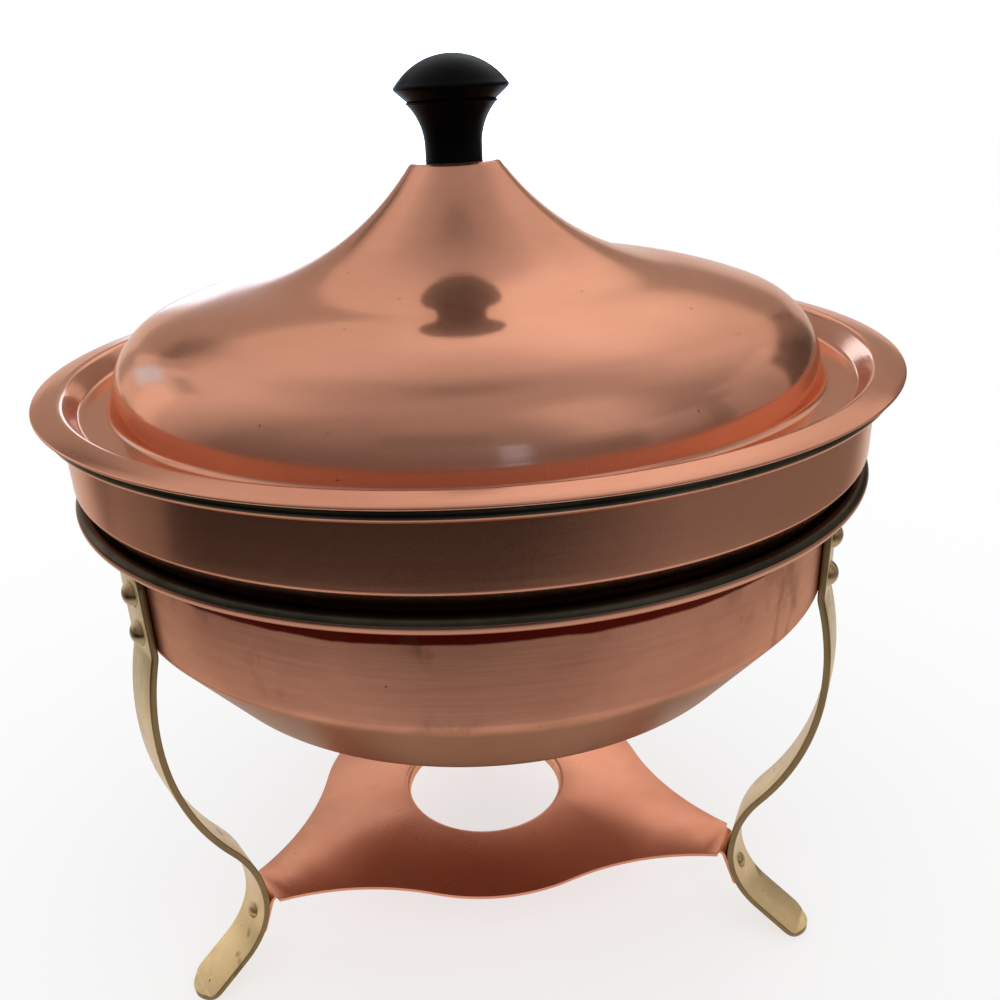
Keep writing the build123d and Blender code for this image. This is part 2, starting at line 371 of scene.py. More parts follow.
def drips_soot_and_painted_shade(shader, colour, dark, heights):
    """Drips, soot with painted shade on the underside, and a dark red ring of painted shade at the given
    heights.
    """
    height = shader.dot(shader.position, UP)
    ragged = shader.spread(shader.noise(shader.position, 45, detail=4), 0.3, 0.7, -0.6 * MM, 0.6 * MM)
    edge = shader.math("ADD", height, ragged)
    # A ragged ring of painted shade, dark red, under the lip
    ring = shader.spread(edge, heights[0] * MM, heights[1] * MM, smooth=True)
    colour = shader.mix(ring, colour, PAINTED_LIP_SHADE)
    # Soot below the crease, partly real soot and partly painted shade
    edge = shader.math("ADD", height, shader.math("MULTIPLY", ragged, 2))
    sooty_and_shaded = shader.spread(edge, SOOT_AND_SHADE_HEIGHTS[0] * MM, SOOT_AND_SHADE_HEIGHTS[1] * MM, 0, 0.9)
    colour = shader.mix(sooty_and_shaded, colour, SOOT_AND_SHADE)
    return shader.mix(shader.math("MULTIPLY", shader.drips(), 0.8), colour, dark)


def spun_metal(name, base, stain, roughness, spin, clouds=9.0, cloud=0.4, marks=0.3, anisotropic=0.4,
               haze=0.1, lip_shade_heights=None):
    """Spun sheet: fine rings round Z, a polish broken by finer haze, stains, specks, and where heights
    are given, drips, soot and painted shade.
    """
    shader = Shader(name, base, 1.0, roughness, Anisotropic=anisotropic, Specular_Tint=SPECULAR_TINT)
    tangent = shader.node("ShaderNodeTangent", direction_type="RADIAL", axis="Z")
    shader.set("Tangent", tangent.outputs[0])
    ring_vector, ring_w = shader.rings(*FINE_RINGS)
    fine = shader.noise(ring_vector, 1.0, detail=2, w=ring_w)
    streak_vector, streak_w = shader.rings(*STREAK_RINGS)
    streak = shader.noise(streak_vector, 1.0, detail=3, w=streak_w)
    patches = shader.spread(shader.noise(shader.position, clouds, detail=6, roughness=0.62), 0.4, 0.7)
    brushed = shader.spread(streak, 0.35, 0.7, 0.0, 0.35)
    clouded = shader.math("MULTIPLY", patches, cloud)
    dulled = shader.math("ADD", clouded, shader.math("MULTIPLY", brushed, marks), clamp=True)
    colour = shader.mix(dulled, base, stain)
    specks = shader.spread(shader.noise(shader.position, SPECK_SCALE, detail=1), 0.79, 0.82)
    dark = tuple(0.25 * channel for channel in stain)
    colour = shader.mix(shader.math("MULTIPLY", specks, 0.7), colour, dark)
    # Drips, soot with painted shade, and the ring of painted shade under the lip
    if lip_shade_heights:
        colour = drips_soot_and_painted_shade(shader, colour, dark, lip_shade_heights)
    shader.set("Base Color", colour)
    polish = shader.noise(shader.position, POLISH_SCALE, detail=0)
    hazy = shader.spread(polish, 0.48, 0.62, roughness - 0.02, roughness + haze)
    shader.set("Roughness", shader.math("ADD", hazy, shader.math("MULTIPLY", patches, 0.06)))
    first = shader.bump(fine, spin, 0.00004)
    shader.set("Normal", shader.bump(streak, spin, 0.00008, below=first))
    return shader.material


def tarnished_brass(name, base, roughness):
    """Rolled brass: soft satin, brown tarnish at random and a few dark specks."""
    shader = Shader(name, base, 1.0, roughness)
    clouds = shader.spread(shader.noise(shader.position, 32, detail=6, roughness=0.65), 0.45, 0.75)
    brown = tuple(0.45 * channel for channel in base)
    colour = shader.mix(shader.math("MULTIPLY", clouds, 0.5), base, brown)
    spots = shader.spread(shader.noise(shader.position, 85, detail=2), 0.68, 0.74)
    colour = shader.mix(shader.math("MULTIPLY", spots, 0.65), colour, TARNISH)
    specks = shader.spread(shader.noise(shader.position, 260, detail=2), 0.72, 0.77)
    shader.set("Base Color", shader.mix(specks, colour, BRASS_SPECK))
    grain = shader.noise(shader.stretched(shader.position, 900, 900, 60), 1.0, detail=3)
    shader.set("Roughness", shader.spread(grain, 0.3, 0.7, roughness - 0.06, roughness + 0.08))
    shader.set("Normal", shader.bump(grain, 0.12, 0.0001))
    return shader.material


def black_plastic():
    """Moulded black knob with a slightly worn, satin skin."""
    shader = Shader("black_plastic", (0.0012, 0.0012, 0.0013), 0.0, 0.34, Specular_IOR_Level=0.05)
    wear = shader.noise(shader.position, 90, detail=5, roughness=0.65)
    shader.set("Roughness", shader.spread(wear, 0.3, 0.75, 0.26, 0.48))
    shader.set("Base Color", shader.mix(wear, (0.0006, 0.0006, 0.0007), (0.002, 0.002, 0.0022)))
    grain = shader.noise(shader.position, 1800, detail=2)
    shader.set("Normal", shader.bump(grain, 0.08, 0.00008))
    return shader.material


def plated_steel():
    """Dull plating on the screw and washer inside the lid."""
    shader = Shader("plated_steel", (0.55, 0.54, 0.52), 1.0, 0.4)
    vector, w = shader.rings(*PLATING_RINGS)
    turned = shader.noise(vector, 1.0, detail=2, w=w)
    shader.set("Roughness", shader.spread(turned, 0.3, 0.7, 0.3, 0.5))
    shader.set("Normal", shader.bump(turned, 0.2, 0.00005))
    return shader.material


lid_copper = spun_metal(
    "copper_lid", (0.66, 0.31, 0.205), (0.5, 0.21, 0.135), 0.1, 0.2, anisotropic=0.25, haze=0.36
)
band_copper = spun_metal("copper_band", (0.6, 0.27, 0.17), (0.4, 0.15, 0.09), 0.12, 0.25, haze=0.25)
bowl_copper = spun_metal(
    "copper_bowl", (0.62, 0.28, 0.18), (0.38, 0.15, 0.09), 0.31, 0.3, cloud=0.6, marks=0.6,
    # painted shade under the lip, and soot with painted shade below the crease
    lip_shade_heights=PAINTED_LIP_SHADE_HEIGHTS,
)
rim_copper = spun_metal("copper_rim", (0.55, 0.27, 0.18), (0.3, 0.12, 0.07), 0.26, 0.2)
# Tarnished tin of the rolled beads, darkened with painted shade where the lid's flange and the food
# pan's band overhang them
tin_and_painted_shade = spun_metal(
    "tin_and_painted_shade", (0.06, 0.052, 0.037), (0.016, 0.013, 0.01), 0.27, 0.25, clouds=30, cloud=0.9
)
plate_copper = spun_metal(
    "copper_plate", (0.76, 0.33, 0.21), (0.56, 0.2, 0.115), 0.29, 0.03, clouds=16.0, cloud=0.6,
    marks=0.0, anisotropic=0.0,
)
tinned = spun_metal("tinned", (0.22, 0.19, 0.15), (0.09, 0.07, 0.05), 0.3, 0.3, cloud=0.8)
brass = tarnished_brass("brass", (0.7, 0.5, 0.255), 0.38)
# A darker copy of the brass for the straps' cut sides: painted shade
brass_edge_painted_shade = tarnished_brass("brass_edge_painted_shade", (0.24, 0.16, 0.075), 0.34)
brass_rivet = tarnished_brass("brass_rivet", (0.42, 0.28, 0.14), 0.24)
black = black_plastic()
steel = plated_steel()

# Water pan
WATER_RADIUS = 128.5
WATER_RIM = node_height("water_pan", 1) - BEAD
WATER_BEAD_RADIUS = 136.4
WATER_CREASE = 150.5
WATER_FLOOR_RADIUS = 103.9
WATER_BENDS = (9.0, 5.0, 3.0)
# Degrees round the bead: where the lip's faces meet it, and where its polished part ends and its tin
# with painted shade begins
WATER_BEAD_JOIN = 11.1
WATER_BEAD_POLISHED = 368
# Material slots: copper, tin, the bead's copper, and the bead's tin with painted shade
COPPER, TIN, RIM, PAINTED_SHADE_RIM = range(4)


def make_water_pan():
    """The pan in the stand: floor, slanting cone, upright wall, flared lip and rolled bead."""
    floor = node_height("water_pan", 0)
    outer = divided(fillet_path(
        [
            (0, floor),
            (WATER_FLOOR_RADIUS, floor),
            (WATER_RADIUS, WATER_CREASE),
            (WATER_RADIUS, WATER_RIM - SHEET / 2),
            (WATER_BEAD_RADIUS - BEAD, WATER_RIM - SHEET / 2),
        ],
        WATER_BENDS,
    ))
    inner = offset_path(outer, SHEET)
    centre = (WATER_BEAD_RADIUS, WATER_RIM)
    outline = marked(outer[:-1], COPPER)
    outline += marked(arc_points(centre, BEAD, 180 + WATER_BEAD_JOIN, WATER_BEAD_POLISHED), RIM)
    outline += marked(arc_points(centre, BEAD, WATER_BEAD_POLISHED, 540 - WATER_BEAD_JOIN)[1:], PAINTED_SHADE_RIM)
    outline += marked(reversed(inner[:-1]), TIN)
    bm = bmesh.new()
    lathe(bm, outline)
    mesh = closed_mesh("water_pan_spun", bm)
    metals = [bowl_copper, tinned, rim_copper, tin_and_painted_shade]
    new_object("water_pan_spun", mesh, "stand", metals, ["water_pan"])


# Food pan
FOOD_RADIUS = 138.0
FOOD_RIM = node_height("food_pan", 1) - BEAD
FOOD_BEAD_RADIUS = 140.9
FOOD_SEAT = WATER_RIM + SHEET / 2 + REST_GAP
FOOD_BODY_RADIUS = 125.0
FOOD_STEP_RADIUS = 132.2
FOOD_STEP_RISE = 8.3
FOOD_BENDS = (20.0, 3.0, 1.5, 2.0)
FOOD_BEAD_POLISHED = 330


def food_pan_line(top):
    """Outer face of the food pan, from the middle of its floor up to a height on its band."""
    floor = node_height("food_pan", 0)
    return divided(fillet_path(
        [
            (0, floor),
            (FOOD_BODY_RADIUS, floor),
            (FOOD_BODY_RADIUS, FOOD_SEAT),
            (FOOD_STEP_RADIUS, FOOD_SEAT),
            (FOOD_RADIUS, FOOD_SEAT + FOOD_STEP_RISE),
            (FOOD_RADIUS, top),
        ],
        FOOD_BENDS,
    ))


def make_food_pan():
    """The pan under the lid, whose step rests on the water pan's lip, with a long rolled bead."""
    first_centre = (FOOD_RADIUS - SHEET + BEAD, FOOD_RIM)
    meet = acos((FOOD_RADIUS - first_centre[0]) / BEAD)
    outer = food_pan_line(FOOD_RIM - BEAD * sin(meet))
    inner = offset_path(food_pan_line(FOOD_RIM), SHEET)
    second_centre = (FOOD_BEAD_RADIUS, FOOD_RIM)
    outline = marked(outer[:-1], COPPER)
    outline += marked(arc_points(first_centre, BEAD, 360 - degrees(meet), 270), RIM)
    outline += marked(arc_points(second_centre, BEAD, 270, FOOD_BEAD_POLISHED), RIM)
    outline += marked(arc_points(second_centre, BEAD, FOOD_BEAD_POLISHED, 450)[1:], PAINTED_SHADE_RIM)
    outline += marked(arc_points(first_centre, BEAD, 450, 540)[:-1], TIN)
    outline += marked(reversed(inner), TIN)
    bm = bmesh.new()
    lathe(bm, outline)
    mesh = closed_mesh("food_pan_spun", bm)
    metals = [band_copper, tinned, rim_copper, tin_and_painted_shade]
    new_object("food_pan_spun", mesh, "food_pan", metals, ["food_pan"])


# Lid
LID_RADIUS = 146.0
FLANGE = FOOD_RIM + BEAD + REST_GAP + SHEET
FLANGE_RADIUS = 136.8
FLANGE_LEAN = 0.6
TROUGH = FLANGE - 6.8
TROUGH_OUTER_RADIUS = 132.3
TROUGH_INNER_RADIUS = 122.4
TROUGH_WALL_RISE = 7.6
TROUGH_WALL_LEAN = radians(12.6)
TROUGH_BENDS = (2.6, 2.2, 2.2)
KNOB_SEAT = node_height("lid", 1)
KNOB_SEAT_BEND = 2.0
# Where the shoulder, the crown and the sweep of the dome end
DOME_ENDS = ((105.2, FLANGE + 18.75), (74.2, FLANGE + 26.9), (15.0, KNOB_SEAT))


def make_lid():
    """The spun lid: flange, sunk trough, domed shoulder and a sweep up to the knob's flat seat."""
    wall_reach = TROUGH_INNER_RADIUS - TROUGH_WALL_RISE * tan(TROUGH_WALL_LEAN)
    line = fillet_path(
        [
            (LID_RADIUS - SHEET / 2, FLANGE - FLANGE_LEAN),
            (FLANGE_RADIUS, FLANGE + FLANGE_LEAN),
            (TROUGH_OUTER_RADIUS, TROUGH),
            (TROUGH_INNER_RADIUS, TROUGH),
            (wall_reach, TROUGH + TROUGH_WALL_RISE),
        ],
        TROUGH_BENDS,
    )
    direction = (line[-1] - line[-2]).normalized()
    for end in DOME_ENDS:
        points, direction = tangent_arc(line[-1], direction, end)
        line += points
    sweep_end = line.pop()
    corner = fillet_path([line[-1], sweep_end, (0, KNOB_SEAT)], [KNOB_SEAT_BEND])
    top = divided(without_repeats(line + corner[1:]))
    under = offset_path(top, SHEET)
    outline = marked(top, COPPER)
    outline += marked(reversed(under), TIN)
    outline += marked(sheet_edge(under[0], top[0]), COPPER)
    bm = bmesh.new()
    lathe(bm, outline)
    mesh = closed_mesh("lid_spun", bm)
    new_object("lid_spun", mesh, "lid", [lid_copper, tinned], ["lid"])


# Knob, with its heights above the seat
KNOB_RADIUS = 9.5
KNOB_EDGE = 0.3
KNOB_STEM = 5.0
KNOB_COLLAR_RADIUS = 14.5
KNOB_COLLAR = 17.6
KNOB_COLLAR_BEAD = 0.45
KNOB_RIM_RADIUS = 17.8
KNOB_RIM = 22.6
KNOB_RIM_EDGE = 1.0
KNOB_HEIGHT = 32.5
KNOB_STEP = 1.5
KNOB_SEGMENTS = 160


def make_knob():
    """The mushroom knob: waisted stem, thin collar, rounded rim and low dome."""
    outline = [(0, 0), (KNOB_RADIUS - KNOB_EDGE, 0), (KNOB_RADIUS, KNOB_EDGE), (KNOB_RADIUS, KNOB_STEM)]
    outline = [Vector(point) for point in outline]
    outline += tangent_arc(outline[-1], Vector((0, 1)), (KNOB_COLLAR_RADIUS, KNOB_COLLAR))[0]
    collar = (KNOB_COLLAR_RADIUS, KNOB_COLLAR + KNOB_COLLAR_BEAD)
    outline += arc_points(collar, KNOB_COLLAR_BEAD, -90, 90)
    rim = (KNOB_RIM_RADIUS, KNOB_RIM)
    outline += arc_points(rim, KNOB_RIM_EDGE, -50, 0) + arc_points(rim, KNOB_RIM_EDGE, 0, 55)
    top = Vector((0, KNOB_HEIGHT))
    dome, _ = tangent_arc(top, Vector((1, 0)), outline[-1])
    outline += list(reversed(dome[:-1])) + [top]
    bm = bmesh.new()
    on_seat = Matrix.Translation(UP * KNOB_SEAT * MM)
    lathe(bm, marked(divided(without_repeats(outline), KNOB_STEP), 0), KNOB_SEGMENTS, on_seat)
    new_object("knob_turned", closed_mesh("knob_turned", bm), "lid", [black], ["knob"])


# Legs, with each point as its distance from the axis and its height
STRAP_TOP = 178.0
WALL_END = (WATER_RADIUS, WATER_CREASE + 0.2)
UPPER_TURN = 147.5
BULGE = (133.0, 119.0)
LOWER_TURN = 63.0
WAIST = (106.4, 35.0)
FOOT = (118.3, 11.4)
TOE_REACH = 137.716
BALL_BEND = 5.0
STRAP_CORNER = 4.0
STRAP_EDGE = 0.55
STRAP_STEP = 1.5
TIP_HALF_WIDTH = 0.4


def s_bend(start, end, turn_height):
    """Two arcs, upright at both ends, that change from one bend to the other at a height."""
    share = (start[1] - turn_height) / (start[1] - end[1])
    turn = (start[0] + share * (end[0] - start[0]), turn_height)
    first, direction = tangent_arc(start, Vector((0, -1)), turn)
    second, _ = tangent_arc(turn, direction, end)
    return first + second


def strap_line():
    """Inner face of a leg's strap, seen from the side, from its top to its toe."""
    line = divided([Vector((WATER_RADIUS, STRAP_TOP)), Vector(WALL_END)], 1.0)
    line += s_bend(WALL_END, BULGE, UPPER_TURN)
    line += s_bend(BULGE, WAIST, LOWER_TURN)
    heel, direction = tangent_arc(WAIST, Vector((0, -1)), FOOT)
    line += heel
    ball = Vector(FOOT) + direction * (FOOT[1] / -direction.y)
    toe = fillet_path([FOOT, ball, (TOE_REACH, 0)], [BALL_BEND])
    line += divided(toe, 1.0)[1:]
    return divided(without_repeats(line), STRAP_STEP)


# Corners of a strap's section: side, whether on the outer face, and where its rounding starts
SECTION_CORNERS = ((1, False, -90), (1, True, 0), (-1, True, 90), (-1, False, 180))
# Faces round the section that lie on the strap's two cut sides
EDGE_FACES = (1, 2, 3, 4, 5, 9, 10, 11, 12, 13)


def strap_half_width(s, total):
    """Half the strap's width at a length along it: rounded corners at the top, a round toe."""
    half = STRAP_WIDTH / 2
    if s < STRAP_CORNER:
        return half - STRAP_CORNER + sqrt(max(0.0, STRAP_CORNER**2 - (STRAP_CORNER - s) ** 2))
    if total - s < half:
        return sqrt(max(0.0, half**2 - (half - (total - s)) ** 2))
    return half


def strap_stations(lengths):
    """Lengths along the strap at which it gets a section, closer together at its two ends."""
    total, half = lengths[-1], STRAP_WIDTH / 2
    stations = [total - half + half * sin(radians(6 * i)) for i in range(1, 15)]
    stations += [STRAP_CORNER * (1 - cos(radians(10 * i))) for i in range(9)]
    stations += [s for s in lengths if STRAP_CORNER < s < total - half]
    return sorted(set(round(s, 4) for s in stations))


def strap_section(half_width):
    """Points round a section of the strap, as (across, out), with softened corners."""
    soft = min(STRAP_EDGE, half_width * 0.6)
    section = []
    for side, outer, start in SECTION_CORNERS:
        u = side * (half_width - soft)
        v = STRAP_THICKNESS - soft if outer else soft
        for k in range(4):
            angle = radians(start + 30 * k)
            section.append((u + soft * cos(angle), v + soft * sin(angle)))
    return section


def place_on(line, lengths, s):
    """The point at a length along a line, and the way out of the strap there."""
    for i in range(len(line) - 1):
        if lengths[i + 1] >= s:
            share = (s - lengths[i]) / (lengths[i + 1] - lengths[i])
            point = line[i].lerp(line[i + 1], share)
            ahead = (line[i + 1] - line[i]).normalized()
            before = line[i] - line[max(i - 1, 0)]
            if before.length > 0:
                ahead = before.normalized().lerp(ahead, 0.5 + share / 2).normalized()
            return point, Vector((-ahead.y, ahead.x))
    ahead = (line[-1] - line[-2]).normalized()
    return line[-1], Vector((-ahead.y, ahead.x))


def make_leg(side, azimuth):
    """One leg: a bent strap that lies on the pan's wall and the plate's tab and ends in a toe."""
    line = strap_line()
    lengths = [0.0]
    for a, b in zip(line, line[1:]):
        lengths.append(lengths[-1] + (b - a).length)
    bm = bmesh.new()
    turn = Matrix.Rotation(radians(azimuth), 4, "Z")
    rings = []
    for s in strap_stations(lengths):
        point, out = place_on(line, lengths, s)
        section = strap_section(max(strap_half_width(s, lengths[-1]), TIP_HALF_WIDTH))
        ring = []
        for u, v in section:
            flat = point + out * v
            ring.append(bm.verts.new(turn @ (Vector((flat.x, u, flat.y)) * MM)))
        rings.append(ring)
    for ring, after in zip(rings, rings[1:]):
        for k in range(len(ring)):
            n = (k + 1) % len(ring)
            face = bm.faces.new((ring[k], ring[n], after[n], after[k]))
            # The strap's cut sides get the brass with painted shade
            face.material_index = 1 if k in EDGE_FACES else 0
    bm.faces.new(rings[0])
    bm.faces.new(list(reversed(rings[-1])))
    mesh = closed_mesh(f"leg_{side}_strap", bm)
    new_object(f"leg_{side}_strap", mesh, "stand", [brass, brass_edge_painted_shade], [f"leg_{side}"])


# Burner plate
PLATE_TOP = node_height("burner_plate", 1)
DISC_RADIUS = 69.4
ARM_WIDTH = 19.0
TAB_WIDTH = 14.0
ARM_SIDE_BEND = 100.0
HOLE_RADIUS = 32.4
COLLAR_BEND = 2.4
COLLAR_DEPTH = 5.0
TAB_BEND = 3.0
TAB_BELOW_RIVET = 8.0
TAB_CORNER = 4.0
TAB_NOTCH_BEND = 0.8
PLATE_RIVET_HEIGHT = 24.5
PLATE_EDGE = 0.35
PLATE_STEP = 3.0
HOLE_SEGMENTS = 144
BEND_STEPS = 8
ARM_ANGLES = [radians(90) + TURN / 3 * k for k in range(3)]

# The strap's arc from its waist to its foot, and the place on it where the tab is riveted
foot_bend = ((FOOT[0] - WAIST[0]) ** 2 + (WAIST[1] - FOOT[1]) ** 2) / (2 * (FOOT[0] - WAIST[0]))
tab_tilt = asin((WAIST[1] - PLATE_RIVET_HEIGHT) / foot_bend)
tab_point = Vector((WAIST[0] + foot_bend * (1 - cos(tab_tilt)), PLATE_RIVET_HEIGHT))
tab_corner = tab_point.x - (PLATE_TOP - tab_point.y) * tan(tab_tilt)
tab_turn = pi / 2 - tab_tilt
arm_end = tab_corner - TAB_BEND * tan(tab_turn / 2)


def plate_outline():
    """Edge of the plate with its tabs still flat, as points round it."""
    corner = hypot(arm_end, ARM_WIDTH / 2)
    centre_reach = DISC_RADIUS + ARM_SIDE_BEND
    share = (centre_reach**2 + corner**2 - ARM_SIDE_BEND**2) / (2 * centre_reach * corner)
    side_angle = atan2(ARM_WIDTH / 2, arm_end) + acos(share)
    to_end = (PLATE_TOP - tab_point.y) / cos(tab_tilt) + TAB_BELOW_RIVET - TAB_BEND * tan(tab_turn / 2)
    flat_reach = arm_end + TAB_BEND * tab_turn + to_end
    centre = Vector((centre_reach * cos(side_angle), centre_reach * sin(side_angle)))
    arm_corner = Vector((arm_end, ARM_WIDTH / 2))
    start = (arm_corner - centre).angle_signed(Vector((-cos(side_angle), -sin(side_angle))))
    side = []
    steps = round(abs(start) * ARM_SIDE_BEND / PLATE_STEP)
    for i in range(steps + 1):
        spoke = (arm_corner - centre).copy()
        spoke.rotate(Matrix.Rotation(-start * i / steps, 2))
        side.append(centre + spoke)
    tip = fillet_path(
        [arm_corner, (arm_end, TAB_WIDTH / 2), (flat_reach, TAB_WIDTH / 2), (flat_reach, 0)],
        [TAB_NOTCH_BEND, TAB_CORNER],
    )
    half_arm = divided(without_repeats(list(reversed(tip)) + side[1:]), PLATE_STEP)
    arm = [Vector((p.x, -p.y)) for p in reversed(half_arm[1:])] + half_arm
    outline = []
    between = TURN / 3 - 2 * side_angle
    steps = round(between * DISC_RADIUS / PLATE_STEP)
    for arm_angle in ARM_ANGLES:
        turn = Matrix.Rotation(arm_angle, 2)
        outline += [turn @ p for p in arm]
        for i in range(1, steps):
            angle = arm_angle + side_angle + between * i / steps
            outline.append(Vector((DISC_RADIUS * cos(angle), DISC_RADIUS * sin(angle))))
    return outline


def bend_tab(bm, arm_angle):
    """Cut the flat plate across an arm's bend, and turn down what lies beyond it."""
    along = Vector((cos(arm_angle), sin(arm_angle), 0))
    for i in range(BEND_STEPS + 1):
        cut = along * (arm_end + TAB_BEND * tab_turn * i / BEND_STEPS)
        flat = bm.verts[:] + bm.edges[:] + bm.faces[:]
        bmesh.ops.bisect_plane(bm, geom=flat, plane_co=cut, plane_no=along)
    for vert in bm.verts:
        reach = vert.co.dot(along)
        if reach > arm_end:
            turned = min((reach - arm_end) / TAB_BEND, tab_turn)
            rest = max(0.0, reach - arm_end - TAB_BEND * tab_turn)
            out = arm_end + TAB_BEND * sin(turned) + rest * cos(tab_turn)
            down = TAB_BEND * (1 - cos(turned)) + rest * sin(tab_turn)
            vert.co += along * (out - reach) - UP * down


def sink_hole(bm, ring, flat_radius):
    """Turn the sheet down round the burner's hole, from a ring of vertices."""
    collar = [ring]
    for i in range(1, BEND_STEPS + 1):
        turned = pi / 2 * i / BEND_STEPS
        share = 1 - COLLAR_BEND * sin(turned) / flat_radius
        depth = COLLAR_BEND * (1 - cos(turned))
        collar.append([bm.verts.new((v.co.x * share, v.co.y * share, -depth)) for v in ring])
    collar.append([bm.verts.new((v.co.x, v.co.y, -COLLAR_DEPTH)) for v in collar[-1]])
    for upper, lower in zip(collar, collar[1:]):
        for k in range(len(ring)):
            n = (k + 1) % len(ring)
            bm.faces.new((upper[k], upper[n], lower[n], lower[k]))


def thickened(mesh):
    """The plate's surface as a sheet with softened edges."""
    obj = bpy.data.objects.new("burner_plate_flat", mesh)
    bpy.context.scene.collection.objects.link(obj)
    thick = obj.modifiers.new("sheet", "SOLIDIFY")
    thick.thickness = PLATE_SHEET * MM
    thick.offset = -1
    thick.use_even_offset = True
    soft = obj.modifiers.new("edge", "BEVEL")
    soft.width = PLATE_EDGE * MM
    soft.segments = 2
    soft.limit_method = "ANGLE"
    soft.angle_limit = radians(50)
    depsgraph = bpy.context.evaluated_depsgraph_get()
    solid = bpy.data.meshes.new_from_object(obj.evaluated_get(depsgraph))
    bpy.data.objects.remove(obj)
    return solid


def make_burner_plate():
    """The plate: flat sheet with three turned-down tabs and a sunk hole, then made solid."""
    bm = bmesh.new()
    outline = [bm.verts.new((p.x, p.y, 0)) for p in plate_outline()]
    flat_hole = HOLE_RADIUS + COLLAR_BEND
    ring = []
    for k in range(HOLE_SEGMENTS):
        angle = TURN * k / HOLE_SEGMENTS
        ring.append(bm.verts.new((flat_hole * cos(angle), flat_hole * sin(angle), 0)))
    edges = []
    for loop in (outline, ring):
        edges += [bm.edges.new((loop[i], loop[(i + 1) % len(loop)])) for i in range(len(loop))]
    bmesh.ops.triangle_fill(bm, use_beauty=True, use_dissolve=False, edges=edges)
    for arm_angle in ARM_ANGLES:
        bend_tab(bm, arm_angle)
    sink_hole(bm, ring, flat_hole)
    bmesh.ops.recalc_face_normals(bm, faces=bm.faces)
    if sum(face.normal.z for face in bm.faces) < 0:
        bmesh.ops.reverse_faces(bm, faces=bm.faces)
    for vert in bm.verts:
        vert.co = (vert.co + UP * PLATE_TOP) * MM
    mesh = bpy.data.meshes.new("burner_plate_cut")
    bm.to_mesh(mesh)
    bm.free()
    bm = bmesh.new()
    bm.from_mesh(thickened(mesh))
    mesh = closed_mesh("burner_plate_cut", bm)
    new_object("burner_plate_cut", mesh, "stand", [plate_copper], ["burner_plate"])


# Rivets: radius of the shank, and half width and rise of the head and of the tail
PAN_RIVET = (2.4, 4.5, 2.9, 3.2, 0.9)
PAN_RIVET_DROPS = (8.5, 22.5)
PLATE_RIVET = (1.7, 3.0, 1.5, 2.7, 0.8)
PAN_RIVET_SEGMENTS = 48
PLATE_RIVET_SEGMENTS = 40


def fall(radius, reach):
    """How far a round wall falls away, at a distance from where a flat touches it."""
    return radius - sqrt(radius**2 - reach**2)


def rivet_outline(shank, grip, head, tail):
    """Outline of a rivet along Z. Head and tail are (half-width, rise, gap under it)."""
    head_seat = head[2]
    tail_seat = -grip - tail[2]
    dome, _ = tangent_arc((0, head_seat + head[1]), Vector((1, 0)), (head[0], head_seat))
    upset, _ = tangent_arc((0, tail_seat - tail[1]), Vector((1, 0)), (tail[0], tail_seat))
    line = [Vector((0, head_seat + head[1]))] + dome
    line += [Vector((shank, head_seat)), Vector((shank, tail_seat))]
    line += list(reversed(upset)) + [Vector((0, tail_seat - tail[1]))]
    return without_repeats(line)


def rivet_place(azimuth, radius, height, tilt=0.0):
    """Where a rivet's head sits, on the outer face of a leg, with Z along the rivet."""
    turn = Matrix.Rotation(radians(azimuth), 4, "Z")
    lean = Matrix.Rotation(pi / 2 - tilt, 4, "Y")
    return turn @ Matrix.Translation(Vector((radius, 0, height)) * MM) @ lean


def make_rivets(side, azimuth):
    """A leg's rivets: two through the pan's wall, and one through the plate's tab."""
    shank, head, rise, tail, tail_rise = PAN_RIVET
    under_tail = fall(WATER_RADIUS - SHEET, tail)
    pan = rivet_outline(shank, STRAP_THICKNESS + SHEET, (head, rise, 0), (tail, tail_rise, under_tail))
    bm = bmesh.new()
    for drop in PAN_RIVET_DROPS:
        place = rivet_place(azimuth, WATER_RADIUS + STRAP_THICKNESS, STRAP_TOP - drop)
        lathe(bm, marked(pan, 0), PAN_RIVET_SEGMENTS, place)
    name = f"pan_rivets_{side}"
    new_object(f"{name}_domed", closed_mesh(name, bm), "stand", [brass_rivet], [name])
    shank, head, rise, tail, tail_rise = PLATE_RIVET
    under_head = fall(foot_bend - STRAP_THICKNESS, head)
    foot = rivet_outline(
        shank, STRAP_THICKNESS + PLATE_SHEET, (head, rise, under_head), (tail, tail_rise, 0)
    )
    out = tab_point + Vector((cos(tab_tilt), sin(tab_tilt))) * STRAP_THICKNESS
    bm = bmesh.new()
    place = rivet_place(azimuth, out.x, out.y, tab_tilt)
    lathe(bm, marked(foot, 0), PLATE_RIVET_SEGMENTS, place)
    name = f"plate_rivet_{side}"
    new_object(f"{name}_domed", closed_mesh(name, bm), "stand", [brass_rivet], [name])


# The dish
make_water_pan()
make_food_pan()
make_lid()
make_knob()
make_burner_plate()
for side, azimuth in LEG_AZIMUTHS.items():
    make_leg(side, azimuth)
    make_rivets(side, azimuth)
for name in ("knob_screw", "knob_washer"):
    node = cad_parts[name]
    for slot in node.material_slots:
        slot.material = steel


# Camera, as the photograph was taken
CAMERA_POSITION = Vector((0, -348.75, 308.79))
CAMERA_FORWARD = Vector((-0.01245, 0.91180, -0.41045))
CAMERA_ROLL = radians(-3.1)
DISH_TURN = radians(4.6)
SENSOR = 36
LENS = 0.985 * SENSOR
SHIFT = (0.040, 0.032)


